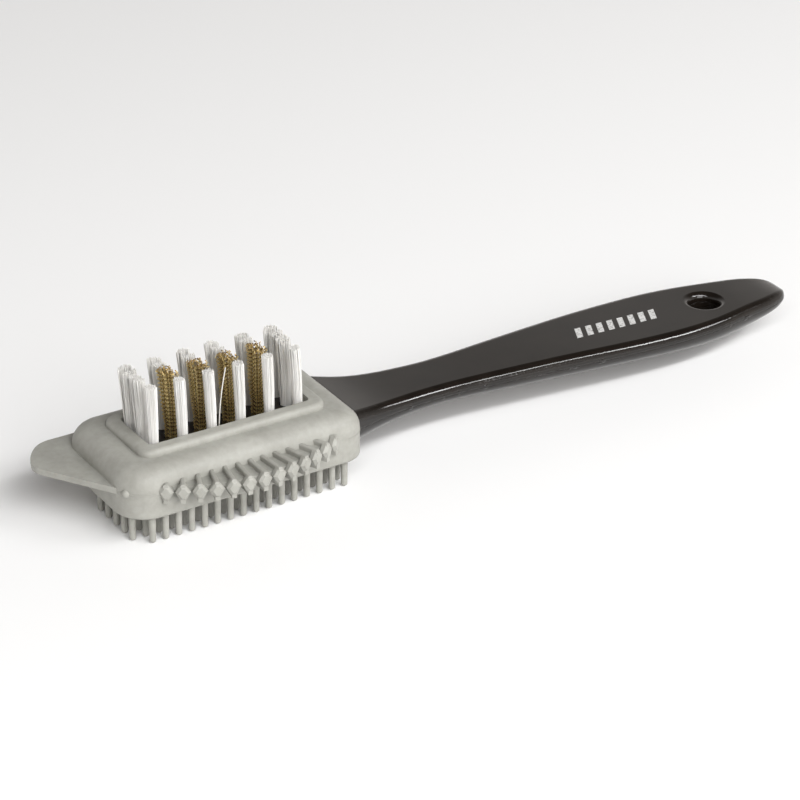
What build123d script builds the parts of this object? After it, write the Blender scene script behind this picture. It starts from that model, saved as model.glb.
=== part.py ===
"""Four-sided care brush: a moulded handle, a soft rubber boot, and nylon and brass tufts.

The head is drawn on the bench: x = 0 is the middle of the tuft field, y = 0 is the brush's
mid-plane and z = 0 is the plane of the pin tips. +X runs from the head to the end of the grip.
Every piece is then moved so that the origin is in the middle of the hang hole.
"""

import os
from math import cos, radians, sin

from build123d import *

# ---------------------------------------------------------------- driving dimensions, mm

# Rubber boot
boot_length = 62.3
boot_width = 34.4
boot_top_z = 18.7
boot_wall = 2.0
boot_front_corner_radius = 8.0
boot_rear_corner_radius = 6.0
boot_top_edge_radius = 4.8
boot_bottom_edge_radius = 0.9
boot_stretch_gap = 0.05
parting_z = 13.2
parting_bead_height = 0.3
parting_bead_proud = 0.1
moulding_nub_radius = 1.1
moulding_nub_sink = 0.3
moulding_nub_angle = 210

# Raised lip round the tuft well
lip_width = 3.15
lip_height = 1.6
lip_outer_edge_radius = 1.3
lip_corner_radius = 3.2
well_corner_radius = 1.2
well_margin = 0.45

# Rubber pins on the underside
pin_length = 6.8
pin_root_diameter = 1.8
pin_tip_diameter = 1.5
pin_tip_radius = 0.5
pin_root_sink = 0.5
pin_pitch_x = 3.34
pin_pitch_y = 3.3
pin_edge_margin = 1.6
pin_front_margin = 6.3
pin_rear_margin = 5.5
end_pin_count = 5
end_pin_pitch_y = 3.9

# Fan of teeth on the near long side
tooth_count = 13
tooth_step_angle = 5.35
tooth_fan_radius = 42.0
tooth_fan_middle_x = -0.55
tooth_width = 3.6
tooth_widest_z = 13.6
tooth_head_above = 2.15
tooth_head_below = 1.75
tooth_head_length = 1.6
tooth_face_length = 0.6
tooth_face_share = 0.6
rib_width = 1.15
rib_top_z = 15.6
rib_bottom_z = 10.8
rib_top_edge_radius = 0.4
web_top_z = 14.4
web_thickness = 1.1
web_setback = 1.9

# Scraper tab on the front end
tab_thickness = 1.5
tab_reach = 11.2
tab_tip_setback_y = 9.6
tab_far_straight = 2.4
tab_shoulder_in_x = 3.0
tab_shoulder_in_y = 2.7
tab_slant_start_x = 1.6
tab_round_depth_y = 13.0
tab_near_root_y = -10.8

# Tufts, their holes and their anchors
tuft_columns = 6
tuft_rows = 3
tuft_pitch_x = 7.5
tuft_pitch_y = 5.0
tuft_hole_diameter = 3.4
tuft_hole_depth = 5.6
tuft_hole_gap = 0.04
tuft_free_length = 16.9
tuft_top_diameter = 3.8
tuft_lean_y = 0.26
tuft_floor_gap = 0.1
anchor_thickness = 0.4
anchor_height = 1.6
anchor_length = 3.9
anchor_floor_height = 0.9
anchor_gap = 0.02

# Handle
tongue_width = 17.0
tongue_height = 6.0
tongue_below_parting = 0.7
tongue_into_grip = 1.0
tongue_gap = 0.1
neck_gap = 0.15
grip_length = 129.9
grip_shoulder_radius = 2.2
hang_hole_diameter = 7.4
hang_hole_rim_radius = 1.7
hang_hole_from_tip = 23.05
hang_hole_middle_z = 8.0

# ---------------------------------------------------------------- values that follow

boot_bottom_z = pin_length
boot_middle_x = -0.25
boot_front_x = boot_middle_x - boot_length / 2
boot_rear_x = boot_middle_x + boot_length / 2
boot_half_width = boot_width / 2

block_top_z = boot_top_z - boot_wall - boot_stretch_gap
block_bottom_z = boot_bottom_z + boot_wall + boot_stretch_gap
block_length = boot_length - 2 * (boot_wall + boot_stretch_gap)
block_width = boot_width - 2 * (boot_wall + boot_stretch_gap)
block_front_corner_radius = boot_front_corner_radius - boot_wall
block_rear_corner_radius = boot_rear_corner_radius - boot_wall
block_edge_radius = boot_top_edge_radius - boot_wall

tuft_field_length = (tuft_columns - 1) * tuft_pitch_x + tuft_hole_diameter
tuft_field_width = (tuft_rows - 1) * tuft_pitch_y + tuft_hole_diameter
well_length = tuft_field_length + 2 * well_margin
well_width = tuft_field_width + 2 * (well_margin + tuft_lean_y)
tuft_hole_floor_z = block_top_z - tuft_hole_depth
anchor_bottom_z = tuft_hole_floor_z + anchor_floor_height
tongue_middle_z = parting_z - tongue_below_parting

neck_x = boot_rear_x + neck_gap
tip_x = neck_x + grip_length
hang_hole_x = tip_x - hang_hole_from_tip

# Stations along the grip: share of its length, half width, top z, bottom z and how full
# the belly is (0.55 is an ellipse, 1 would be a square corner).
grip_stations = [
    (0.000, 12.0, 15.7, 6.0, 0.80),
    (0.045, 10.4, 14.7, 6.6, 0.75),
    (0.095, 9.1, 14.1, 7.1, 0.68),
    (0.160, 8.2, 13.8, 7.2, 0.60),
    (0.225, 8.0, 13.6, 7.0, 0.56),
    (0.330, 8.9, 13.5, 6.2, 0.56),
    (0.440, 10.1, 13.4, 5.4, 0.56),
    (0.550, 11.4, 13.1, 4.8, 0.56),
    (0.650, 12.2, 12.7, 4.2, 0.56),
    (0.740, 12.2, 12.4, 3.5, 0.56),
    (0.820, 11.0, 12.2, 3.3, 0.56),
    (0.892, 9.0, 12.1, 4.2, 0.56),
    (0.932, 7.9, 11.9, 5.2, 0.56),
    (0.963, 6.5, 11.6, 6.2, 0.56),
    (0.983, 4.9, 11.1, 7.1, 0.56),
    (0.995, 3.0, 10.4, 7.9, 0.56),
    (1.000, 1.0, 9.7, 8.5, 0.56),
]


# ---------------------------------------------------------------- shared helpers


def rounded_slab(length, width, front_radius, rear_radius, bottom_z, top_z):
    """An upright slab with rounded corners, centred on the boot's middle."""
    outline = Pos(boot_middle_x, 0, bottom_z) * Rectangle(length, width)
    outline = fillet(outline.vertices().group_by(Axis.X)[0], front_radius)
    outline = fillet(outline.vertices().group_by(Axis.X)[-1], rear_radius)
    return extrude(outline, amount=top_z - bottom_z)


def tuft_places():
    """The centre of each tuft hole, with its column and row."""
    for column in range(tuft_columns):
        for row in range(tuft_rows):
            x = (column - (tuft_columns - 1) / 2) * tuft_pitch_x
            y = (row - (tuft_rows - 1) / 2) * tuft_pitch_y
            yield column, row, x, y


def is_brass(column, row):
    """Brass fills the inside of the field, and nylon is the ring round it."""
    inner_column = 0 < column < tuft_columns - 1
    inner_row = 0 < row < tuft_rows - 1
    return inner_column and inner_row


# ---------------------------------------------------------------- handle


def grip_section(x, half_width, top_z, bottom_z, fullness):
    """One D-shaped section of the grip: flat on top, round shoulders, full belly."""
    shoulder = min(grip_shoulder_radius, 0.4 * (top_z - bottom_z))
    middle_z = top_z - shoulder
    inner = half_width - shoulder
    belly = middle_z - bottom_z
    right_turn = (inner + shoulder * sin(radians(45)), middle_z + shoulder * cos(radians(45)))
    left_turn = (-right_turn[0], right_turn[1])
    top = Line((-inner, top_z), (inner, top_z))
    right = ThreePointArc((inner, top_z), right_turn, (half_width, middle_z))
    right_belly = Bezier(
        (half_width, middle_z),
        (half_width, middle_z - fullness * belly),
        (fullness * half_width, bottom_z),
        (0, bottom_z),
    )
    left_belly = Bezier(
        (0, bottom_z),
        (-fullness * half_width, bottom_z),
        (-half_width, middle_z - fullness * belly),
        (-half_width, middle_z),
    )
    left = ThreePointArc((-half_width, middle_z), left_turn, (-inner, top_z))
    outline = make_face([top, right, right_belly, left_belly, left])
    plane = Plane(origin=(x, 0, 0), x_dir=(0, 1, 0), z_dir=(1, 0, 0))
    return plane * outline


def make_grip():
    """The grip, lofted through its stations to a small rounded tip."""
    sections = []
    for share, half_width, top_z, bottom_z, fullness in grip_stations:
        x = neck_x + share * grip_length
        sections.append(grip_section(x, half_width, top_z, bottom_z, fullness))
    return loft(sections)


def make_hang_hole_tool():
    """The hang hole with a rounded rim at the grip's top face."""
    radius = hang_hole_diameter / 2
    rim = hang_hole_rim_radius
    top_z = grip_top_z(hang_hole_x)
    turn = (radius + rim * (1 - cos(radians(45))), top_z - rim * (1 - sin(radians(45))))
    profile = make_face(
        [
            Line((0, 0), (radius, 0)),
            Line((radius, 0), (radius, top_z - rim)),
            ThreePointArc((radius, top_z - rim), turn, (radius + rim, top_z)),
            Line((radius + rim, top_z), (radius + rim, top_z + rim)),
            Line((radius + rim, top_z + rim), (0, top_z + rim)),
            Line((0, top_z + rim), (0, 0)),
        ]
    )
    return Pos(hang_hole_x, 0, 0) * revolve(Plane.XZ * profile, Axis.Z)


def grip_top_z(x):
    """Height of the grip's flat top at x, read between its stations."""
    share = (x - neck_x) / grip_length
    for before, after in zip(grip_stations, grip_stations[1:]):
        if before[0] <= share <= after[0]:
            mix = (share - before[0]) / (after[0] - before[0])
            return before[2] + mix * (after[2] - before[2])
    return grip_stations[-1][2]


def make_tuft_hole_tool(x, y):
    """A blind tuft hole and the two grooves that its anchor cuts in the hole's wall."""
    hole = extrude(
        Pos(x, y, tuft_hole_floor_z) * Circle(tuft_hole_diameter / 2),
        amount=tuft_hole_depth + 1,
    )
    groove_top = block_top_z + 1
    groove = Pos(x, y, (anchor_bottom_z + groove_top) / 2) * Box(
        anchor_length + 2 * anchor_gap,
        anchor_thickness + 2 * anchor_gap,
        groove_top - anchor_bottom_z,
    )
    return hole + groove


def make_handle():
    """Head block, tongue and grip in one moulding, with its tuft holes and hang hole."""
    block = rounded_slab(
        block_length,
        block_width,
        block_front_corner_radius,
        block_rear_corner_radius,
        block_bottom_z,
        block_top_z,
    )
    block = fillet(block.faces().sort_by(Axis.Z)[-1].edges(), block_edge_radius)
    tongue_start_x = boot_rear_x - boot_wall - boot_rear_corner_radius
    tongue_end_x = neck_x + tongue_into_grip
    tongue = Pos((tongue_start_x + tongue_end_x) / 2, 0, tongue_middle_z) * Box(
        tongue_end_x - tongue_start_x, tongue_width, tongue_height
    )
    handle = make_grip() + block + tongue
    tools = [make_hang_hole_tool()]
    for _, _, x, y in tuft_places():
        tools.append(make_tuft_hole_tool(x, y))
    return handle - tools


# ---------------------------------------------------------------- rubber boot


def make_boot_shell():
    """The stretched skin over the head block, with its tuft well and lip."""
    shell = rounded_slab(
        boot_length,
        boot_width,
        boot_front_corner_radius,
        boot_rear_corner_radius,
        boot_bottom_z,
        boot_top_z,
    )
    shell = fillet(shell.faces().sort_by(Axis.Z)[-1].edges(), boot_top_edge_radius)
    shell = fillet(shell.faces().sort_by(Axis.Z)[0].edges(), boot_bottom_edge_radius)
    lip_outline = Pos(0, 0, boot_top_z - boot_wall / 2) * RectangleRounded(
        well_length + 2 * lip_width,
        well_width + 2 * lip_width,
        lip_corner_radius,
    )
    lip = extrude(lip_outline, amount=lip_height + boot_wall / 2)
    lip = fillet(lip.faces().sort_by(Axis.Z)[-1].edges(), lip_outer_edge_radius)
    bead = rounded_slab(
        boot_length + 2 * parting_bead_proud,
        boot_width + 2 * parting_bead_proud,
        boot_front_corner_radius + parting_bead_proud,
        boot_rear_corner_radius + parting_bead_proud,
        parting_z - parting_bead_height / 2,
        parting_z + parting_bead_height / 2,
    )
    return shell + lip + bead + make_moulding_nub()


def make_moulding_nub():
    """The small round gate mark on the front corner, on the parting line."""
    turn = radians(moulding_nub_angle)
    reach = boot_front_corner_radius - moulding_nub_sink
    x = boot_front_x + boot_front_corner_radius + reach * cos(turn)
    y = -boot_half_width + boot_front_corner_radius + reach * sin(turn)
    return Pos(x, y, parting_z) * Sphere(moulding_nub_radius)


def make_boot_cavity():
    """The space for the head block, the well above it and the slot for the tongue."""
    inside = rounded_slab(
        boot_length - 2 * boot_wall,
        boot_width - 2 * boot_wall,
        block_front_corner_radius,
        block_rear_corner_radius,
        boot_bottom_z + boot_wall,
        boot_top_z - boot_wall,
    )
    inside = fillet(inside.faces().sort_by(Axis.Z)[-1].edges(), block_edge_radius)
    well = extrude(
        Pos(0, 0, boot_top_z - 2 * boot_wall)
        * RectangleRounded(well_length, well_width, well_corner_radius),
        amount=2 * boot_wall + lip_height + 1,
    )
    slot = Pos(boot_rear_x, 0, tongue_middle_z) * Box(
        4 * boot_wall, tongue_width + 2 * tongue_gap, tongue_height + 2 * tongue_gap
    )
    return [inside, well, slot]


def pin_places():
    """Pin centres: a full grid, and a shorter and wider-spaced column at the front end."""
    along = int((boot_length - pin_front_margin - pin_rear_margin) / pin_pitch_x) + 1
    across = int((boot_width - 2 * pin_edge_margin) / pin_pitch_y) + 1
    first_x = boot_rear_x - pin_rear_margin - (along - 1) * pin_pitch_x
    for column in range(along):
        for row in range(across):
            yield first_x + column * pin_pitch_x, (row - (across - 1) / 2) * pin_pitch_y
    first_y = -((across - 1) / 2 - 1) * pin_pitch_y
    for row in range(end_pin_count):
        yield first_x - pin_pitch_x, first_y + row * end_pin_pitch_y


def make_pin():
    """One tapered pin with a rounded tip, standing on the origin."""
    root = pin_root_diameter / 2
    tip = pin_tip_diameter / 2
    top = pin_length + pin_root_sink
    flat = tip - pin_tip_radius
    turn = pin_tip_radius * sin(radians(45))
    profile = make_face(
        [
            Line((0, 0), (flat, 0)),
            ThreePointArc(
                (flat, 0), (flat + turn, pin_tip_radius - turn), (tip, pin_tip_radius)
            ),
            Line((tip, pin_tip_radius), (root, top)),
            Line((root, top), (0, top)),
            Line((0, top), (0, 0)),
        ]
    )
    return revolve(Plane.XZ * profile, Axis.Z)


def make_tooth(angle):
    """One tooth of the fan: a narrow rib from the wall, ending in a faceted diamond head."""
    half_width = tooth_width / 2
    half_rib = rib_width / 2
    direction = (sin(radians(angle)), -cos(radians(angle)), 0)
    sideways = (-cos(radians(angle)), -sin(radians(angle)), 0)

    def out_plane(radius, z):
        x = tooth_fan_middle_x + direction[0] * radius
        y = boot_half_width + direction[1] * radius
        return Plane(origin=(x, y, z), x_dir=sideways, z_dir=direction)

    def diamond(share):
        return make_face(
            Polyline(
                (-half_rib * share, tooth_head_above * share),
                (half_rib * share, tooth_head_above * share),
                (half_width * share, 0),
                (half_rib * share, -tooth_head_below * share),
                (-half_rib * share, -tooth_head_below * share),
                (-half_width * share, 0),
                close=True,
            )
        )

    face_start = tooth_fan_radius - tooth_face_length
    head_start = tooth_fan_radius - tooth_head_length
    head = extrude(
        out_plane(head_start, tooth_widest_z) * diamond(1), amount=face_start - head_start
    )
    full = out_plane(face_start, tooth_widest_z) * diamond(1)
    front = out_plane(tooth_fan_radius, tooth_widest_z) * diamond(tooth_face_share)
    rib_start = (boot_width - boot_wall / 2) / cos(radians(angle))
    rib_height = rib_top_z - rib_bottom_z
    rib = extrude(
        out_plane(rib_start, (rib_top_z + rib_bottom_z) / 2) * Rectangle(rib_width, rib_height),
        amount=face_start + tooth_face_length / 2 - rib_start,
    )
    top_edges = rib.faces().sort_by(Axis.Z)[-1].edges()
    rib = fillet(top_edges, rib_top_edge_radius)
    return [head, loft([full, front]), rib]


def make_tooth_web():
    """The crescent shelf that ties the ribs together behind their heads."""
    web_radius = tooth_fan_radius - web_setback
    web_z = web_top_z - web_thickness / 2
    disc = Pos(tooth_fan_middle_x, boot_half_width, web_z) * Cylinder(web_radius, web_thickness)
    keep_y = -boot_half_width + boot_wall / 2 - web_radius / 2
    keep = Pos(tooth_fan_middle_x, keep_y, web_z) * Box(
        2 * web_radius, web_radius, web_thickness
    )
    return disc & keep


def make_tab():
    """The thin scraper tab: flush with the far wall, round at its tip, slanted back."""
    far_y = boot_half_width
    nose_x = boot_front_x - tab_reach
    inside_x = boot_front_x + boot_wall / 2
    far_start = (boot_front_x + boot_front_corner_radius, far_y)
    far_end = (boot_front_x - tab_far_straight, far_y)
    shoulder = (nose_x + tab_shoulder_in_x, far_y - tab_shoulder_in_y)
    nose = (nose_x, far_y - tab_tip_setback_y)
    slant_start = (nose_x + tab_slant_start_x, far_y - tab_round_depth_y)
    slant_end = (boot_front_x, tab_near_root_y)
    slant = (slant_end[0] - slant_start[0], slant_end[1] - slant_start[1])
    outline = [
        Line(far_start, far_end),
        Spline(far_end, shoulder, nose, slant_start, tangents=[(-1, 0), slant]),
        Line(slant_start, slant_end),
        Line(slant_end, (inside_x, tab_near_root_y)),
        Line((inside_x, tab_near_root_y), (inside_x, far_y - boot_front_corner_radius)),
        Line((inside_x, far_y - boot_front_corner_radius), (far_start[0], far_y - boot_wall / 2)),
        Line((far_start[0], far_y - boot_wall / 2), far_start),
    ]
    plate = extrude(
        Pos(0, 0, parting_z - tab_thickness / 2) * make_face(outline),
        amount=tab_thickness,
    )
    return plate


def make_rubber_boot():
    """The whole boot: shell, lip, pins, fan of teeth and scraper tab in one moulding."""
    solids = [make_boot_shell(), make_tab(), make_tooth_web()]
    for number in range(tooth_count):
        angle = (number - (tooth_count - 1) / 2) * tooth_step_angle
        solids += make_tooth(angle)
    pin = make_pin()
    for x, y in pin_places():
        solids.append(Pos(x, y, 0) * pin)
    boot = solids[0] + solids[1:]
    return boot - make_boot_cavity()


# ---------------------------------------------------------------- tufts and anchors


def make_tuft(x, y):
    """One tuft as a plain solid: its folded root in the hole and its flared free length."""
    root_diameter = tuft_hole_diameter - 2 * tuft_hole_gap
    lean = tuft_lean_y * y / tuft_pitch_y
    root_bottom_z = tuft_hole_floor_z + tuft_floor_gap
    root_end = Pos(x, y, root_bottom_z) * Circle(root_diameter / 2)
    root = extrude(root_end, amount=block_top_z - root_bottom_z)
    free_bottom = Pos(x, y, block_top_z) * Circle(root_diameter / 2)
    free_top = Pos(x, y + lean, block_top_z + tuft_free_length) * Circle(tuft_top_diameter / 2)
    slot = Pos(x, y, anchor_bottom_z + anchor_height / 2) * Box(
        anchor_length + 1, anchor_thickness + 2 * anchor_gap, anchor_height + 2 * anchor_gap
    )
    return root + loft([free_bottom, free_top]) - slot


def make_anchor(x, y):
    """The flat wire that holds a tuft's fold at the bottom of its hole."""
    middle = Pos(x, y, anchor_bottom_z + anchor_height / 2)
    return middle * Box(anchor_length, anchor_thickness, anchor_height)


# ---------------------------------------------------------------- write every piece

to_hang_hole = Pos(-hang_hole_x, 0, -hang_hole_middle_z)
pieces = {"handle": make_handle(), "rubber_boot": make_rubber_boot()}
anchors = []
nylon_count = 0
brass_count = 0
for column, row, x, y in tuft_places():
    anchors.append(make_anchor(x, y))
    if is_brass(column, row):
        brass_count += 1
        pieces[f"brass_tuft_{brass_count}"] = make_tuft(x, y)
    else:
        nylon_count += 1
        pieces[f"nylon_tuft_{nylon_count:02d}"] = make_tuft(x, y)
pieces["tuft_anchors"] = Compound(anchors)

os.makedirs("parts", exist_ok=True)
for name, piece in pieces.items():
    export_step(to_hang_hole * piece, f"parts/{name}.step")
print(len(pieces), "pieces,", len(list(pin_places())), "pins")
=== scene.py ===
# %% [markdown]
# # A four-sided care brush
#
# The brush has a glossy black plastic grip, a soft grey rubber boot stretched over its head, and a
# field of nylon and brass tufts standing in a well. The solid model gives every piece its place and
# size. Here the pieces get their looks: real filaments in place of the solid tufts, and a finish for
# everything else.

# %% Load the solid model
import math
import random

import bpy
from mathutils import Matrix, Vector


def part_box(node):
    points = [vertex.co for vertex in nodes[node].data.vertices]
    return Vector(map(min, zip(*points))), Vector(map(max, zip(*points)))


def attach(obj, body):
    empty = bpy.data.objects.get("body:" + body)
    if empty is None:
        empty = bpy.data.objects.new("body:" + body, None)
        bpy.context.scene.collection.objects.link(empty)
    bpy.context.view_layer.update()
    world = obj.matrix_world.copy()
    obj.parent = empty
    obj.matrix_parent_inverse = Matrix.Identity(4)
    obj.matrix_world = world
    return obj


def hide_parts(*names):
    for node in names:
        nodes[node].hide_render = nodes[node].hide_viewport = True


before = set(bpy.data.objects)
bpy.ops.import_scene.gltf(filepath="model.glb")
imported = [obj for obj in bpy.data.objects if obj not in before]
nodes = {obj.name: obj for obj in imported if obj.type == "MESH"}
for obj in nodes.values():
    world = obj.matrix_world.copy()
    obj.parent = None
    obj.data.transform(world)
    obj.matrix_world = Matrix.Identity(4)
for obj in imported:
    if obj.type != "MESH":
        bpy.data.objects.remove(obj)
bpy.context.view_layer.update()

MM = 0.001

# %% [markdown]
# ## Where things are
#
# Every place is read from the solid model. The middle of the tuft field and the plane of the pin
# tips are the two datums that the rest is measured from.


# %% Datums
def box_middle(name):
    low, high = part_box(name)
    return (low + high) / 2


tuft_names = sorted(n for n in nodes if n.startswith(("nylon_tuft", "brass_tuft")))
field_middle_x = sum(box_middle(n).x for n in tuft_names) / len(tuft_names)
boot_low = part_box("rubber_boot")[0]
grip_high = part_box("handle")[1]
head = Vector((field_middle_x, 0.0, boot_low.z))
print("tuft field's middle is", round(head.x / MM, 2), "mm along x from the hang hole")

# %% [markdown]
# ## Camera
#
# The camera looks down on the brush from its front left, from a good distance with a long lens, so
# that the sides stay almost parallel. It comes first, because every later choice is judged in it.

# %% Camera
CAMERA_AZIMUTH = math.radians(-31.35)
CAMERA_ELEVATION = math.radians(28.17)
CAMERA_FROM_HEAD = Vector((-0.34162, -0.64217, 0.4115))
LENS_MM = 162
SENSOR_WIDTH_MM = 36
camera_data = bpy.data.cameras.new("camera")
camera_data.lens = LENS_MM
camera_data.sensor_width = SENSOR_WIDTH_MM
camera = bpy.data.objects.new("camera", camera_data)
bpy.context.scene.collection.objects.link(camera)
camera.location = head + CAMERA_FROM_HEAD
camera.rotation_euler = (math.pi / 2 - CAMERA_ELEVATION, 0, CAMERA_AZIMUTH)
bpy.context.scene.camera = camera
print("camera stands", round(CAMERA_FROM_HEAD.length, 3), "m from the head")

# %% [markdown]
# ## Helpers for node trees
#
# Geometry and shader trees are both built from a few small calls. A value given to a helper is
# either a plain number or another node's output, and the helper links or sets it.


# %% Node helpers
def feed(tree, socket, value):
    """Links value to the socket if it is an output, and sets it as a number or colour if not."""
    if isinstance(value, bpy.types.NodeSocket):
        tree.links.new(value, socket)
    elif value is not None:
        socket.default_value = value


def calc(tree, operation, first, second=None, third=None, clamp=False):
    """One math node's result."""
    node = tree.nodes.new("ShaderNodeMath")
    node.operation = operation
    node.use_clamp = clamp
    for socket, value in zip(node.inputs, (first, second, third)):
        feed(tree, socket, value)
    return node.outputs[0]


# %% [markdown]
# ## A tuft of filaments
#
# On the real brush a tuft is a bundle of filaments folded in half over a flat wire and driven into
# a blind hole, so that it stands up as two lobes. A plain cylinder with a streaky material would
# look like a peg. Here a Geometry Nodes tree lays out one line of points for each filament, bends
# and crimps the lines by formula, and sweeps a small profile along them. One tree makes every tuft,
# with its own sizes and its own seed.


# %% A tree with named sizes
def new_geometry_tree(name, sizes):
    """An empty geometry tree with a Geometry output and the named number inputs."""
    tree = bpy.data.node_groups.new(name, "GeometryNodeTree")
    tree.interface.new_socket("Geometry", in_out="INPUT", socket_type="NodeSocketGeometry")
    for socket_name, kind in sizes:
        tree.interface.new_socket(socket_name, in_out="INPUT", socket_type=kind)
    tree.interface.new_socket("Geometry", in_out="OUTPUT", socket_type="NodeSocketGeometry")
    source = tree.nodes.new("NodeGroupInput")
    result = tree.nodes.new("NodeGroupOutput")
    return tree, source.outputs, result.inputs["Geometry"]


FLOAT = "NodeSocketFloat"
INT = "NodeSocketInt"
TUFT_SIZES = [
    ("Filaments", INT),
    ("Points", INT),
    ("Sides", INT),
    ("Thickness", FLOAT),
    ("Root radius", FLOAT),
    ("Bottom", FLOAT),
    ("Top", FLOAT),
    ("Mouth", FLOAT),
    ("Flare", FLOAT),
    ("Brush out", FLOAT),
    ("Lobe gap", FLOAT),
    ("Crimp", FLOAT),
    ("Wander", FLOAT),
    ("Uneven", FLOAT),
    ("Slope", FLOAT),
    ("Lean x", FLOAT),
    ("Lean y", FLOAT),
    ("Middle", "NodeSocketVector"),
    ("Seed", INT),
    ("Material", "NodeSocketMaterial"),
]
print("a tuft has", len(TUFT_SIZES), "named sizes")

# %% [markdown]
# The points come as one long row, so each point works out from its number which filament it is on
# and how far up it is. Random numbers go by the filament's number, so a filament keeps its own along
# its whole length.


# %% Numbering the points and drawing random numbers
def number_points(tree, size):
    """New points, and for each its filament, its step along it and its share of the way up."""
    points = tree.nodes.new("GeometryNodePoints")
    feed(tree, points.inputs["Count"], calc(tree, "MULTIPLY", size["Filaments"], size["Points"]))
    index = tree.nodes.new("GeometryNodeInputIndex").outputs[0]
    filament = calc(tree, "FLOOR", calc(tree, "DIVIDE", calc(tree, "ADD", index, 0.5), size["Points"]))
    step = calc(tree, "SUBTRACT", index, calc(tree, "MULTIPLY", filament, size["Points"]))
    along = calc(tree, "DIVIDE", step, calc(tree, "SUBTRACT", size["Points"], 1.0))
    return points, filament, step, along


SEED_STEPS = {"wander x": 11.0, "wander y": 23.0, "cut": 37.0, "shade": 51.0}


def random_for(tree, filament, seed, purpose):
    """A random number from -1 to 1 for each filament, with its own seed for each purpose."""
    node = tree.nodes.new("FunctionNodeRandomValue")
    node.data_type = "FLOAT"
    node.inputs[2].default_value = -1.0
    node.inputs[3].default_value = 1.0
    feed(tree, node.inputs["ID"], filament)
    feed(tree, node.inputs["Seed"], calc(tree, "ADD", seed, SEED_STEPS[purpose]))
    return node.outputs[1]


# %% [markdown]
# A filament starts in its hole in a sunflower pattern, which is even and has no rows. The bundle
# springs out at the hole's mouth, its tips are brushed outwards, and its two halves drift apart.

# %% Standing in the hole and spreading out
GOLDEN_ANGLE = math.radians(137.508)
TIP_SHARPNESS = 14.0
SPRING_OUT_SHARE = 0.3
ANY_SMALL_LENGTH = 1e-6


def root_place(tree, size, filament):
    """Where a filament stands in the hole, and the direction from the hole's middle to it."""
    angle = calc(tree, "MULTIPLY", filament, GOLDEN_ANGLE)
    share = calc(tree, "DIVIDE", calc(tree, "ADD", filament, 0.5), size["Filaments"])
    reach = calc(tree, "MULTIPLY", calc(tree, "SQRT", share), size["Root radius"])
    cosine = calc(tree, "COSINE", angle)
    sine = calc(tree, "SINE", angle)
    root_x = calc(tree, "MULTIPLY", reach, cosine)
    root_y = calc(tree, "MULTIPLY", reach, sine)
    return root_x, root_y, cosine, sine


def spread_and_lobe(tree, size, along, root_y):
    """How many times wider the bundle is at this height, and how far its half has moved off."""
    tip = calc(tree, "POWER", along, TIP_SHARPNESS)
    above_mouth = calc(tree, "SUBTRACT", along, size["Mouth"])
    out_of_hole = calc(tree, "DIVIDE", above_mouth, SPRING_OUT_SHARE, clamp=True)
    eased = calc(tree, "SQRT", out_of_hole)
    spread = calc(tree, "MULTIPLY_ADD", eased, size["Flare"], 1.0)
    spread = calc(tree, "MULTIPLY_ADD", tip, size["Brush out"], spread)
    lobe = calc(tree, "SIGN", calc(tree, "ADD", root_y, ANY_SMALL_LENGTH))
    lobe_shift = calc(tree, "MULTIPLY", calc(tree, "MULTIPLY", lobe, size["Lobe gap"]), along)
    return spread, lobe_shift


# %% [markdown]
# Three things keep a bundle from looking drawn with a ruler: filaments lean and wander on the way
# up, brass is crimped into a zigzag, and the cut across the top isn't quite level.


# %% Leaning, crimping and cutting
def lean(tree, size, filament, along):
    """How far a filament has moved sideways: the tuft's lean, and a little of its own."""
    above = calc(tree, "MULTIPLY", along, along)
    shifts = []
    for lean_name, purpose in (("Lean x", "wander x"), ("Lean y", "wander y")):
        own = calc(tree, "MULTIPLY", random_for(tree, filament, size["Seed"], purpose), size["Wander"])
        shifts.append(calc(tree, "MULTIPLY", calc(tree, "ADD", size[lean_name], own), above))
    return shifts


def plus_or_minus(tree, number):
    """One where a whole number is odd, and minus one where it is even."""
    odd = calc(tree, "FLOORED_MODULO", number, 2.0)
    return calc(tree, "MULTIPLY_ADD", odd, 2.0, -1.0)


def crimp_steps(tree, size, step, filament):
    """Every second point steps outwards and to one side, and a neighbour to the other side."""
    crest = plus_or_minus(tree, step)
    outwards = calc(tree, "MULTIPLY", crest, size["Crimp"])
    sideways = calc(tree, "MULTIPLY", outwards, plus_or_minus(tree, filament))
    return crest, outwards, sideways


def height_at(tree, size, filament, along, root_x):
    """The point's height, up to a cut with a slight slope and a little unevenness."""
    uneven = calc(tree, "MULTIPLY", random_for(tree, filament, size["Seed"], "cut"), size["Uneven"])
    cut = calc(tree, "ADD", calc(tree, "MULTIPLY_ADD", root_x, size["Slope"], size["Top"]), uneven)
    return calc(tree, "MULTIPLY_ADD", along, calc(tree, "SUBTRACT", cut, size["Bottom"]), size["Bottom"])


def vector_of(tree, x, y, z):
    """Three numbers as one vector."""
    node = tree.nodes.new("ShaderNodeCombineXYZ")
    for socket, value in zip(node.inputs, (x, y, z)):
        feed(tree, socket, value)
    return node.outputs[0]


# %% [markdown]
# Placed points carry two numbers for the materials: a shade for each filament, and where its crimp
# stands out. Points to Curves joins them into lines, and Curve to Mesh gives the lines a thickness.


# %% Sweeping the lines
def keep_number(tree, geometry, name, value):
    """Stores a number on every point under a name that a material can read."""
    store = tree.nodes.new("GeometryNodeStoreNamedAttribute")
    store.data_type = "FLOAT"
    store.domain = "POINT"
    store.inputs["Name"].default_value = name
    feed(tree, store.inputs["Geometry"], geometry)
    feed(tree, store.inputs["Value"], value)
    return store.outputs[0]


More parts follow.
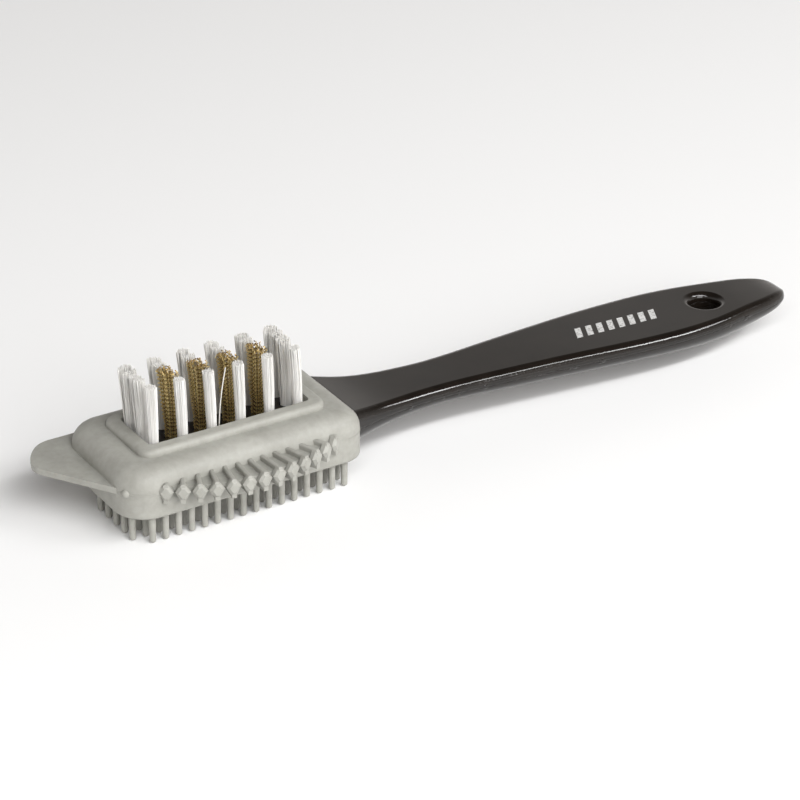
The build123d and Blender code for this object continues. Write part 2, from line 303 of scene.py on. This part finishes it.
def sweep_lines(tree, size, geometry, filament, step):
    """Joins each filament's points in their order, sweeps a small profile along and paints it."""
    lines = tree.nodes.new("GeometryNodePointsToCurves")
    feed(tree, lines.inputs["Points"], geometry)
    feed(tree, lines.inputs["Curve Group ID"], filament)
    feed(tree, lines.inputs["Weight"], step)
    profile = tree.nodes.new("GeometryNodeCurvePrimitiveCircle")
    feed(tree, profile.inputs["Resolution"], size["Sides"])
    feed(tree, profile.inputs["Radius"], calc(tree, "MULTIPLY", size["Thickness"], 0.5))
    sweep = tree.nodes.new("GeometryNodeCurveToMesh")
    sweep.inputs["Fill Caps"].default_value = True
    feed(tree, sweep.inputs["Curve"], lines.outputs[0])
    feed(tree, sweep.inputs["Profile Curve"], profile.outputs["Curve"])
    realize = tree.nodes.new("GeometryNodeRealizeInstances")
    feed(tree, realize.inputs[0], sweep.outputs[0])
    paint = tree.nodes.new("GeometryNodeSetMaterial")
    feed(tree, paint.inputs["Geometry"], realize.outputs[0])
    feed(tree, paint.inputs["Material"], size["Material"])
    return paint.outputs[0]


# %% [markdown]
# The whole tree is now short: number the points, place them, store the two numbers, and sweep. The
# crimp turns with the filament's own direction, so it always points away from the tuft's middle.


# %% The whole tree
def make_tuft_tree():
    """Points in rows by number, placed by formula, joined into lines and swept."""
    tree, size, result = new_geometry_tree("tuft_filaments", TUFT_SIZES)
    points, filament, step, along = number_points(tree, size)
    root_x, root_y, cosine, sine = root_place(tree, size, filament)
    spread, lobe_shift = spread_and_lobe(tree, size, along, root_y)
    shift_x, shift_y = lean(tree, size, filament, along)
    crest, outwards, sideways = crimp_steps(tree, size, step, filament)

    x = calc(tree, "MULTIPLY_ADD", root_x, spread, shift_x)
    x = calc(tree, "MULTIPLY_ADD", sine, calc(tree, "MULTIPLY", sideways, -1.0), x)
    x = calc(tree, "MULTIPLY_ADD", cosine, outwards, x)
    y = calc(tree, "ADD", calc(tree, "MULTIPLY_ADD", root_y, spread, shift_y), lobe_shift)
    y = calc(tree, "MULTIPLY_ADD", cosine, sideways, y)
    y = calc(tree, "MULTIPLY_ADD", sine, outwards, y)
    z = height_at(tree, size, filament, along, root_x)
    place = tree.nodes.new("ShaderNodeVectorMath")
    place.operation = "ADD"
    feed(tree, place.inputs[0], vector_of(tree, x, y, z))
    feed(tree, place.inputs[1], size["Middle"])
    feed(tree, points.inputs["Position"], place.outputs[0])

    shade = random_for(tree, filament, size["Seed"], "shade")
    placed = keep_number(tree, points.outputs[0], "filament_shade", shade)
    placed = keep_number(tree, placed, "crimp_crest", crest)
    feed(tree, result, sweep_lines(tree, size, placed, filament, step))
    return tree


tuft_tree = make_tuft_tree()
print("filament tree has", len(tuft_tree.nodes), "nodes")

# %% [markdown]
# ## From a tree to a plain mesh
#
# A modifier's inputs are set by their identifiers before it is first evaluated. The result is then
# copied out as a plain mesh and the modifier goes away, so that nothing is left to work out later.


# %% Bake a tree into a mesh
def bake_tree(tree, values, name):
    """A mesh object made by the tree with these input values, with no modifier left on it."""
    carrier = bpy.data.objects.new(name + "_carrier", bpy.data.meshes.new(name + "_carrier"))
    bpy.context.scene.collection.objects.link(carrier)
    modifier = carrier.modifiers.new("build", "NODES")
    modifier.node_group = tree
    for item in tree.interface.items_tree:
        if item.in_out == "INPUT" and item.name in values:
            modifier[item.identifier] = values[item.name]
    graph = bpy.context.evaluated_depsgraph_get()
    mesh = bpy.data.meshes.new_from_object(carrier.evaluated_get(graph), depsgraph=graph)
    mesh.name = name
    bpy.data.objects.remove(carrier)
    piece = bpy.data.objects.new(name, mesh)
    bpy.context.scene.collection.objects.link(piece)
    return piece


# %% [markdown]
# ## Materials
#
# Each finish is a small node tree on Object coordinates, so that its grain has a real size. The
# helpers below start a Principled shader and add noise at a size given in millimetres.


# %% Material helpers
def new_material(name, roughness, **sockets):
    """A material with a Principled shader whose plain values are set on its own sockets."""
    material = bpy.data.materials.new(name)
    material.use_nodes = True
    tree = material.node_tree
    shader = tree.nodes["Principled BSDF"]
    shader.inputs["Roughness"].default_value = roughness
    for socket, value in sockets.items():
        shader.inputs[socket.replace("_", " ")].default_value = value
    return material, tree, shader


def object_place(tree):
    """The surface point in the object's own metres."""
    return tree.nodes.new("ShaderNodeTexCoord").outputs["Object"]


NOISE_ROUGHNESS = 0.55


def noise_of(tree, size_mm, detail=3.0, stretch=(1.0, 1.0, 1.0)):
    """Noise whose blotches are about size_mm across, stretched along an axis by a small factor."""
    mapping = tree.nodes.new("ShaderNodeMapping")
    mapping.inputs["Scale"].default_value = stretch
    feed(tree, mapping.inputs["Vector"], object_place(tree))
    noise = tree.nodes.new("ShaderNodeTexNoise")
    noise.inputs["Scale"].default_value = 1.0 / (size_mm * MM)
    noise.inputs["Detail"].default_value = detail
    noise.inputs["Roughness"].default_value = NOISE_ROUGHNESS
    feed(tree, noise.inputs["Vector"], mapping.outputs[0])
    return noise.outputs["Fac"]


def ramp(tree, value, low, high, dark, light):
    """Maps a value between low and high to a mix of two colours."""
    node = tree.nodes.new("ShaderNodeValToRGB")
    node.color_ramp.elements[0].position = low
    node.color_ramp.elements[0].color = (*dark, 1)
    node.color_ramp.elements[1].position = high
    node.color_ramp.elements[1].color = (*light, 1)
    feed(tree, node.inputs["Fac"], value)
    return node.outputs["Color"]


def between(tree, value, low, high):
    """Turns a value from 0..1 into one from low..high."""
    node = tree.nodes.new("ShaderNodeMapRange")
    feed(tree, node.inputs["Value"], value)
    node.inputs["To Min"].default_value = low
    node.inputs["To Max"].default_value = high
    return node.outputs[0]


def bump(tree, shader, value, depth_mm, strength=1.0):
    """Raises the surface by value times depth_mm."""
    node = tree.nodes.new("ShaderNodeBump")
    node.inputs["Distance"].default_value = depth_mm * MM
    node.inputs["Strength"].default_value = strength
    feed(tree, node.inputs["Height"], value)
    feed(tree, shader.inputs["Normal"], node.outputs[0])


# %% [markdown]
# White nylon is milky, so light goes a little way into it. Brass wire has a painted highlight on the
# outward crests of its crimp and painted shade in the hollows between them. The flat wire that holds
# each tuft is plain galvanized steel. Filaments read their own tone from the number that the tree
# stored on them, so no two neighbours match.

# %% Nylon, brass and anchor wire
MILKY_SHADE = (0.56, 0.54, 0.5)
MILKY_WHITE = (0.88, 0.865, 0.83)
SCATTER_LENGTH = 0.5 * MM
# The dark brass colour is painted shade for the crimp's hollows, and the light one a painted highlight
# for its crests.
BRASS_HOLLOW_SHADE = (0.15, 0.08, 0.016)
BRASS_CREST_HIGHLIGHT = (1.0, 0.8, 0.38)
ZINC_DARK = (0.4, 0.4, 0.42)
ZINC_LIGHT = (0.62, 0.62, 0.63)


def make_nylon():
    """White nylon: milky and slightly glossy, each filament a little lighter or darker."""
    material, tree, shader = new_material("white_nylon", 0.3, IOR=1.53, Subsurface_Weight=0.5)
    shader.inputs["Subsurface Radius"].default_value = (1.0, 0.96, 0.9)
    shader.inputs["Subsurface Scale"].default_value = SCATTER_LENGTH
    shade = tree.nodes.new("ShaderNodeAttribute")
    shade.attribute_name = "filament_shade"
    tone = calc(tree, "MULTIPLY_ADD", shade.outputs["Fac"], 0.22, 0.62)
    streak = noise_of(tree, 0.5, 2.0, (1, 1, 0.06))
    mixed = calc(tree, "MULTIPLY_ADD", calc(tree, "SUBTRACT", streak, 0.5), 0.7, tone)
    colour = ramp(tree, mixed, 0.2, 0.75, MILKY_SHADE, MILKY_WHITE)
    feed(tree, shader.inputs["Base Color"], colour)
    bump(tree, shader, noise_of(tree, 0.09, 2.0, (1, 1, 0.1)), 0.008, 0.5)
    return material


def make_brass():
    """Crimped brass wire: a painted highlight on the outward crests, and painted brown shade in the
    hollows.
    """
    material, tree, shader = new_material("brass_wire", 0.27, Metallic=0.8)
    crest = tree.nodes.new("ShaderNodeAttribute")
    crest.attribute_name = "crimp_crest"
    shade = tree.nodes.new("ShaderNodeAttribute")
    shade.attribute_name = "filament_shade"
    # Outward crests are painted lighter as a painted highlight, and inward hollows darker as painted
    # shade.
    tone = calc(tree, "MULTIPLY_ADD", crest.outputs["Fac"], 0.45, 0.55)
    tone = calc(tree, "MULTIPLY_ADD", shade.outputs["Fac"], 0.1, tone)
    mixed = calc(tree, "MULTIPLY_ADD", calc(tree, "SUBTRACT", noise_of(tree, 1.5), 0.5), 0.5, tone)
    colour = ramp(tree, mixed, 0.15, 0.85, BRASS_HOLLOW_SHADE, BRASS_CREST_HIGHLIGHT)
    feed(tree, shader.inputs["Base Color"], colour)
    feed(tree, shader.inputs["Roughness"], between(tree, noise_of(tree, 0.5), 0.22, 0.36))
    bump(tree, shader, noise_of(tree, 0.08, 2.0), 0.005, 0.4)
    return material


def make_anchor_steel():
    """Galvanized flat wire, hidden at the bottom of the holes."""
    material, tree, shader = new_material("anchor_steel", 0.4, Metallic=1.0)
    spangle = noise_of(tree, 0.7)
    colour = ramp(tree, spangle, 0.3, 0.7, ZINC_DARK, ZINC_LIGHT)
    feed(tree, shader.inputs["Base Color"], colour)
    bump(tree, shader, noise_of(tree, 0.2, 2.0, (0.2, 1, 1)), 0.01, 0.4)
    return material


nylon = make_nylon()
brass = make_brass()
anchor_steel = make_anchor_steel()
print("materials made:", nylon.name, brass.name, anchor_steel.name)

# %% [markdown]
# The boot is soft rubber with a little chalk and dust worked into it. It is matte, slightly cloudy,
# and has the fine grain of its mould. Two sizes of noise, added, keep it from looking like paint.

# %% Rubber
RUBBER_DARK = (0.272, 0.269, 0.241)
RUBBER_LIGHT = (0.345, 0.342, 0.312)


def make_rubber():
    """Warm grey soft rubber: matte, with a fine moulded grain and faint cloudy marks."""
    material, tree, shader = new_material("grey_rubber", 0.5)
    cloud = calc(tree, "MULTIPLY", noise_of(tree, 9.0, 4.0), 0.6)
    cloud = calc(tree, "MULTIPLY_ADD", noise_of(tree, 1.6, 5.0), 0.4, cloud)
    colour = ramp(tree, cloud, 0.36, 0.64, RUBBER_DARK, RUBBER_LIGHT)
    feed(tree, shader.inputs["Base Color"], colour)
    feed(tree, shader.inputs["Roughness"], between(tree, noise_of(tree, 3.0), 0.44, 0.62))
    bump(tree, shader, noise_of(tree, 0.3, 3.0), 0.02, 0.45)
    return material


rubber = make_rubber()
print("material made:", rubber.name)

# %% [markdown]
# The grip is glossy black plastic. Two marks on it are worth having. A two-part mould leaves a fine
# seam round the widest line, with small nicks where the flash was trimmed. A row of white slanted
# bars stands in for a printed mark, with no lettering.

# %% Mould seam and trimming nicks
SEAM_Z_AT_HOLE = 1.95 * MM
SEAM_SLOPE = -0.0143
SEAM_HALF_WIDTH = 0.16 * MM
SEAM_EDGE = 0.08 * MM
NICK_HALF_WIDTH = 0.45 * MM
NICK_EDGE = 0.3 * MM


def inside(tree, value, middle, half_width, softness):
    """One where value is within half_width of middle, falling to zero over the softness."""
    distance = calc(tree, "ABSOLUTE", calc(tree, "SUBTRACT", value, middle))
    room = calc(tree, "SUBTRACT", half_width, distance)
    return calc(tree, "MULTIPLY_ADD", room, 1.0 / softness, 0.5, clamp=True)


def parts_of(tree, vector):
    """The x, y and z of a vector."""
    node = tree.nodes.new("ShaderNodeSeparateXYZ")
    feed(tree, node.inputs[0], vector)
    return node.outputs


def product(tree, *factors):
    """All the factors multiplied together."""
    result = factors[0]
    for factor in factors[1:]:
        result = calc(tree, "MULTIPLY", result, factor)
    return result


def seam_and_nicks(tree, place, facing):
    """How deep the mould seam is, and how far the trimming nicks stand out."""
    seam_z = calc(tree, "MULTIPLY_ADD", place[0], SEAM_SLOPE, SEAM_Z_AT_HOLE)
    steepness = calc(tree, "ABSOLUTE", facing[2])
    on_side = calc(tree, "MULTIPLY_ADD", steepness, -4.0, 3.0, clamp=True)
    seam = product(tree, inside(tree, place[2], seam_z, SEAM_HALF_WIDTH, SEAM_EDGE), on_side)
    along_grip = noise_of(tree, 4.0, 4.0, (1, 0.05, 0.05))
    nick = calc(tree, "MULTIPLY_ADD", along_grip, 14.0, -8.2, clamp=True)
    nick_band = product(tree, inside(tree, place[2], seam_z, NICK_HALF_WIDTH, NICK_EDGE), on_side)
    return seam, product(tree, nick, nick_band)


# %% [markdown]
# The bars are worked out from the surface's own place: slanted stripes, cut to a field on the flat
# top of the grip, with a little ink worn away. An image would blur close up, and this doesn't.

# %% Printed bars
BARS_START_X = -39.0 * MM
BARS_END_X = -14.0 * MM
BAR_HALF_HEIGHT = 2.3 * MM
BAR_PITCH = 3.1 * MM
BAR_SLANT = -0.45
BAR_HALF_SHARE = 0.27
BAR_EDGE = 0.05 * MM


def printed_bars(tree, place, facing):
    """How much ink there is: slanted bars on the grip's top, slightly worn."""
    x, y = place[0], place[1]
    slanted = calc(tree, "MULTIPLY_ADD", y, BAR_SLANT, x)
    phase = calc(tree, "FRACT", calc(tree, "DIVIDE", calc(tree, "ADD", slanted, 1.0), BAR_PITCH))
    bar = inside(tree, phase, 0.5, BAR_HALF_SHARE, 0.04)
    middle_x = (BARS_START_X + BARS_END_X) / 2
    along = inside(tree, slanted, middle_x, (BARS_END_X - BARS_START_X) / 2, BAR_EDGE)
    across = inside(tree, y, 0.0, BAR_HALF_HEIGHT, BAR_EDGE)
    on_top = calc(tree, "MULTIPLY_ADD", facing[2], 10.0, -8.0, clamp=True)
    wear = calc(tree, "MULTIPLY_ADD", noise_of(tree, 0.6, 3.0), 3.0, -0.55, clamp=True)
    return product(tree, bar, along, across, on_top, wear)


# %% [markdown]
# The plastic puts the marks together. Bump is enough for the seam, because the real one is only
# about a tenth of a millimetre deep. Uneven gloss keeps the black from looking like a mirror.

# %% Black plastic
BLACK_DEEP = (0.0065, 0.0048, 0.0036)
BLACK_WORN = (0.0105, 0.0078, 0.0058)
INK = (0.62, 0.62, 0.61, 1)
RELIEF_DEPTH_MM = 0.14


def make_black_plastic():
    """Black plastic with a satin gloss, a mould seam with nicks, and a generic printed mark."""
    material, tree, shader = new_material("black_plastic", 0.22)
    place = parts_of(tree, object_place(tree))
    facing = parts_of(tree, tree.nodes.new("ShaderNodeNewGeometry").outputs["Normal"])
    seam, nick = seam_and_nicks(tree, place, facing)
    ink = printed_bars(tree, place, facing)

    cloud = noise_of(tree, 6.0, 3.0)
    black = ramp(tree, cloud, 0.3, 0.7, BLACK_DEEP, BLACK_WORN)
    mix = tree.nodes.new("ShaderNodeMix")
    mix.data_type = "RGBA"
    feed(tree, mix.inputs["Factor"], ink)
    feed(tree, mix.inputs[6], black)
    feed(tree, mix.inputs[7], INK)
    feed(tree, shader.inputs["Base Color"], mix.outputs[2])

    scuffs = noise_of(tree, 1.2, 4.0, (0.15, 1, 1))
    roughness = calc(tree, "MULTIPLY_ADD", ink, 0.3, between(tree, scuffs, 0.07, 0.17))
    feed(tree, shader.inputs["Roughness"], roughness)
    waves = calc(tree, "MULTIPLY", noise_of(tree, 9.0, 1.0, (0.3, 1, 1)), 0.1)
    relief = calc(tree, "SUBTRACT", waves, seam)
    relief = calc(tree, "MULTIPLY_ADD", nick, 1.2, relief)
    bump(tree, shader, relief, RELIEF_DEPTH_MM)
    return material


black_plastic = make_black_plastic()
kept_nodes = {"rubber_boot": rubber, "handle": black_plastic, "tuft_anchors": anchor_steel}
for name, material in kept_nodes.items():
    nodes[name].data.materials.clear()
    nodes[name].data.materials.append(material)
print("solid-model nodes with a new finish:", ", ".join(kept_nodes))

# %% [markdown]
# ## The tufts
#
# Each tuft of the solid model is replaced by real filaments. Nylon is a bundle of fine straight
# filaments, set close. Brass is a bundle of crimped wires that are worn into a ragged head. Use has
# opened the far row into two lobes, while the near row is still tight.

# %% Sizes of the nylon and the brass
HOLE_MOUTH_SHARE = 0.25
NYLON_SIZES = {
    "Filaments": 170,
    "Points": 5,
    "Sides": 4,
    "Thickness": 0.22 * MM,
    "Root radius": 1.4 * MM,
    "Mouth": HOLE_MOUTH_SHARE,
    "Flare": 0.08,
    "Brush out": 0.0,
    "Crimp": 0.0,
    "Wander": 0.16 * MM,
    "Uneven": 0.22 * MM,
    "Material": nylon,
}
BRASS_SIZES = {
    "Filaments": 40,
    "Points": 37,
    "Sides": 4,
    "Thickness": 0.28 * MM,
    "Root radius": 1.55 * MM,
    "Mouth": HOLE_MOUTH_SHARE,
    "Flare": 0.3,
    "Brush out": 0.2,
    "Crimp": 0.26 * MM,
    "Wander": 0.2 * MM,
    "Uneven": 0.4 * MM,
    "Material": brass,
}
print("filaments in a tuft: nylon", NYLON_SIZES["Filaments"], "and brass", BRASS_SIZES["Filaments"])

# %% [markdown]
# The rows differ in two sizes: how wide a bundle stands in its hole, and how far its halves part.

# %% How the rows differ
TUFT_LENGTH = 18.0 * MM
NEAR_ROW_ROOT_RADIUS = 1.15 * MM
FAR_ROW_ROOT_RADIUS = 1.6 * MM
NEAR_ROW_LOBE_GAP = 0.05 * MM
MIDDLE_ROW_LOBE_GAP = 0.5 * MM
FAR_ROW_LOBE_GAP = 0.95 * MM
ROW_HALF_WIDTH = 2.0 * MM


def lobe_gap(y):
    """How far each half of a tuft stands off at the top, by the row that it stands in."""
    if y < -ROW_HALF_WIDTH:
        return NEAR_ROW_LOBE_GAP
    return MIDDLE_ROW_LOBE_GAP if y < ROW_HALF_WIDTH else FAR_ROW_LOBE_GAP


def place_tuft(piece_name, middle, top, sizes, seed):
    """Bakes one bundle of filaments at a hole and gives it to the root body."""
    values = dict(sizes)
    values["Top"] = top
    values["Bottom"] = top - TUFT_LENGTH
    values["Middle"] = (middle.x, middle.y, 0.0)
    values["Seed"] = seed
    tuft = bake_tree(tuft_tree, values, piece_name)
    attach(tuft, "root")
    return tuft


# %% [markdown]
# Each tuft takes its place from its solid, and draws its own lean, slope and lobe gap, so that no
# two are alike. The seed is fixed, so the brush comes out the same each time.

# %% Nylon and brass tufts
LOBE_GAP_SHARES = (0.7, 1.2)
LEAN_X_MM = (-0.9, -0.2)
LEAN_Y_MM = (-0.2, 0.2)
SLOPES = (-0.2, 0.2)
FIRST_TUFT_SEED = 100
random.seed(7)
for number, name in enumerate(tuft_names):
    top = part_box(name)[1].z
    is_brass = name.startswith("brass")
    sizes = dict(BRASS_SIZES if is_brass else NYLON_SIZES)
    middle = box_middle(name)
    sizes["Lobe gap"] = lobe_gap(middle.y) * random.uniform(*LOBE_GAP_SHARES)
    if middle.y < -ROW_HALF_WIDTH:
        sizes["Root radius"] = NEAR_ROW_ROOT_RADIUS
    if middle.y > ROW_HALF_WIDTH:
        sizes["Root radius"] = FAR_ROW_ROOT_RADIUS
    sizes["Lean x"] = random.uniform(*LEAN_X_MM) * MM
    sizes["Lean y"] = random.uniform(*LEAN_Y_MM) * MM
    sizes["Slope"] = random.uniform(*SLOPES)
    seed = FIRST_TUFT_SEED + number
    tuft = place_tuft(name + "_filaments", middle, top, sizes, seed)
    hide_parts(name)
    if not is_brass:
        for polygon in tuft.data.polygons:
            polygon.use_smooth = True
print("tufts:", len(tuft_names), "last tuft has", len(tuft.data.polygons), "faces")

# %% [markdown]
# One nylon filament has come away from a near tuft and leans across the brass behind it. It is the
# same tree with a single filament, a little thicker so that it still reads.

# %% Stray filament
STRAY_FROM_TUFT = 2
STRAY_OFFSET = Vector((1.9 * MM, 0.2 * MM, 0))
STRAY_BELOW_TOP = 0.3 * MM
STRAY_SEED = 300
near_row = [n for n in tuft_names if box_middle(n).y < -ROW_HALF_WIDTH]
near_row.sort(key=lambda n: box_middle(n).x)
stray_from = near_row[STRAY_FROM_TUFT]
stray_sizes = dict(NYLON_SIZES)
stray_sizes.update({
    "Filaments": 1,
    "Points": 12,
    "Thickness": 0.3 * MM,
    "Root radius": 0.01 * MM,
    "Lobe gap": 0.0,
    "Lean x": 1.9 * MM,
    "Lean y": -0.2 * MM,
    "Slope": 0.0,
})
stray_root = box_middle(stray_from) + STRAY_OFFSET
stray_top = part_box(stray_from)[1].z - STRAY_BELOW_TOP
place_tuft("stray_filament", stray_root, stray_top, stray_sizes, STRAY_SEED)
print("stray filament leans from", stray_from)

# %% [markdown]
# ## Floor, light and air
#
# The brush stands on a wide pale floor. The floor is a hair below the pin tips, so that the two
# surfaces don't flicker through each other.

# %% Floor
FLOOR_REACH = 3.0
FLOOR_GAP = 0.05 * MM
floor_z = boot_low.z - FLOOR_GAP
corners = []
for side_x, side_y in ((-1, -1), (1, -1), (1, 1), (-1, 1)):
    corners.append((head.x + side_x * FLOOR_REACH, side_y * FLOOR_REACH, floor_z))
floor_data = bpy.data.meshes.new("floor")
floor_data.from_pydata(corners, [], [(0, 1, 2, 3)])
floor = bpy.data.objects.new("floor", floor_data)
bpy.context.scene.collection.objects.link(floor)
floor_material, _, floor_shader = new_material("pale_floor", 0.6)
floor_shader.inputs["Base Color"].default_value = (0.88, 0.88, 0.88, 1)
floor_data.materials.append(floor_material)
print("floor made at", round(floor_z / MM, 2), "mm, and it reaches", FLOOR_REACH, "m each way")

# %% [markdown]
# Three soft lights: a wide one in front for the whole brush, a long narrow one above it that draws
# the bright line along the grip's shoulder, and a small one that catches the end of the grip.


# %% Lights
def area_light(name, from_target, target, width, depth, power):
    """A soft rectangular light that stands off from a target and points at it."""
    data = bpy.data.lights.new(name, "AREA")
    data.shape = "RECTANGLE"
    data.size = width
    data.size_y = depth
    data.energy = power
    light = bpy.data.objects.new(name, data)
    bpy.context.scene.collection.objects.link(light)
    light.location = target + from_target
    light.rotation_euler = (target - light.location).to_track_quat("-Z", "Y").to_euler()
    print(name, "made with", power, "watts")


grip_shoulder = head + Vector((0.1, 0, 0))
grip_end = Vector((grip_high.x, 0, grip_high.z))
area_light("front_softbox", Vector((0.1, -1.35, 0.8)), head, width=1.0, depth=1.0, power=15)
area_light("strip_light", Vector((0, -0.85, 1.05)), grip_shoulder, width=2.2, depth=0.16, power=17)
area_light("end_light", Vector((0.85, -0.7, 0.95)), grip_end, width=0.7, depth=0.2, power=5)

# %% [markdown]
# The air is a gradient: pale at the horizon and dark overhead, so that the flat of the grip reflects
# a warm grey and its shoulder a black line.

# %% Air
AIR_STOPS = [(0.0, 0.95), (0.3, 0.7), (0.5, 0.38), (0.64, 0.12), (0.8, 0.05), (1.0, 0.05)]
AIR_TINT = (1.0, 0.96, 0.92)
world = bpy.data.worlds.new("studio_air")
bpy.context.scene.world = world
world.use_nodes = True
air_tree = world.node_tree
direction = air_tree.nodes.new("ShaderNodeSeparateXYZ")
feed(air_tree, direction.inputs[0], air_tree.nodes.new("ShaderNodeTexCoord").outputs["Generated"])
air_ramp = air_tree.nodes.new("ShaderNodeValToRGB")
while len(air_ramp.color_ramp.elements) < len(AIR_STOPS):
    air_ramp.color_ramp.elements.new(0.5)
for element, (height, level) in zip(air_ramp.color_ramp.elements, AIR_STOPS):
    element.position = height
    element.color = (*(level * tint for tint in AIR_TINT), 1)
feed(air_tree, air_ramp.inputs["Fac"], direction.outputs[2])
feed(air_tree, air_tree.nodes["Background"].inputs["Color"], air_ramp.outputs["Color"])
air_tree.nodes["Background"].inputs["Strength"].default_value = 1.0
bpy.context.scene.view_settings.view_transform = "Standard"
print("air made with", len(AIR_STOPS), "levels of brightness")
